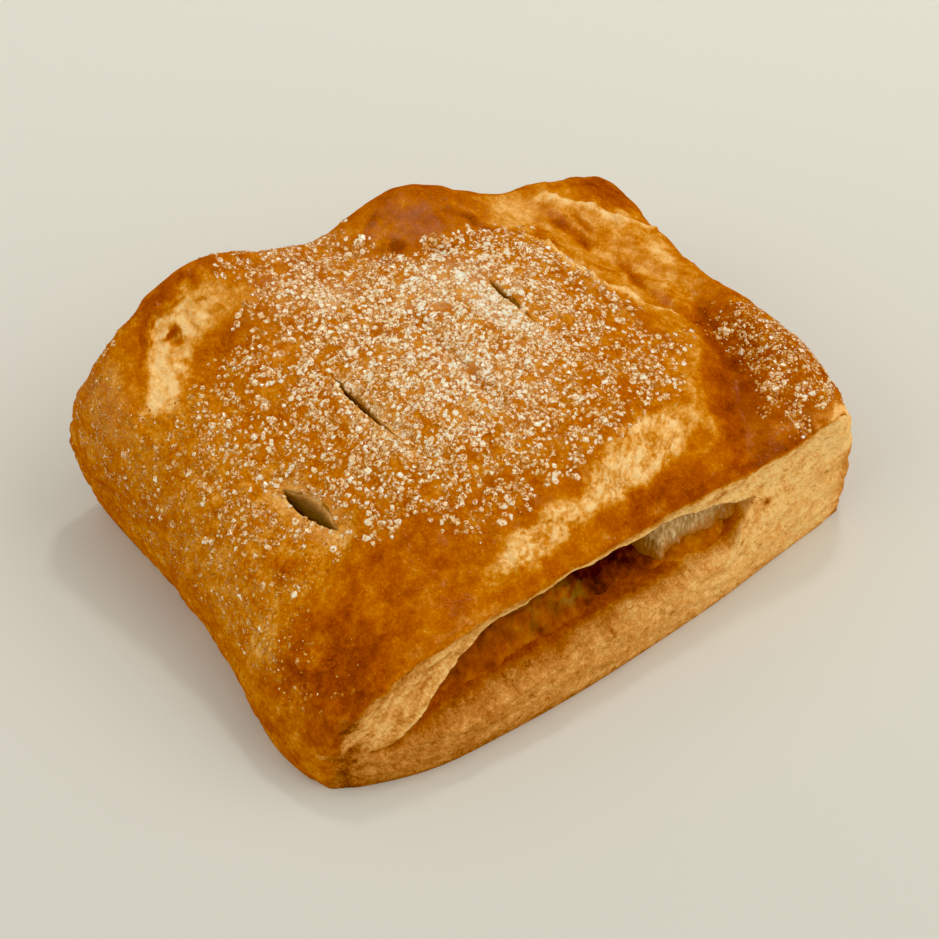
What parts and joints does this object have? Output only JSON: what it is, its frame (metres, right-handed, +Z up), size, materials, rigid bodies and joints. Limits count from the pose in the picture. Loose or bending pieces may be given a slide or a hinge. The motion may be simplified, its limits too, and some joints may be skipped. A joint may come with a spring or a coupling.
{
  "type": "guava and cheese pastry",
  "caption": "Folded puff pastry parcel with a sugared crust, slits in its top sheet and an open front edge that shows guava under cheese.",
  "frame": {"origin": "middle of the bounding box at the flat bottom, on the surface it rests on", "axes": "+X along the long side, to the right when looking into the open front edge; the open front edge faces -Y; +Z up"},
  "size_m": [0.1198, 0.0928, 0.0484],
  "materials": {
    "crust": "baked golden brown puff pastry with a thin egg glaze and coarse sugar",
    "guava": "glossy cooked guava paste",
    "cheese": "soft melted cream cheese"
  },
  "bodies": {
    "root": {"pastry_dough": "crust", "guava_filling": "guava", "cheese_filling": "cheese"}
  },
  "joints": []
}
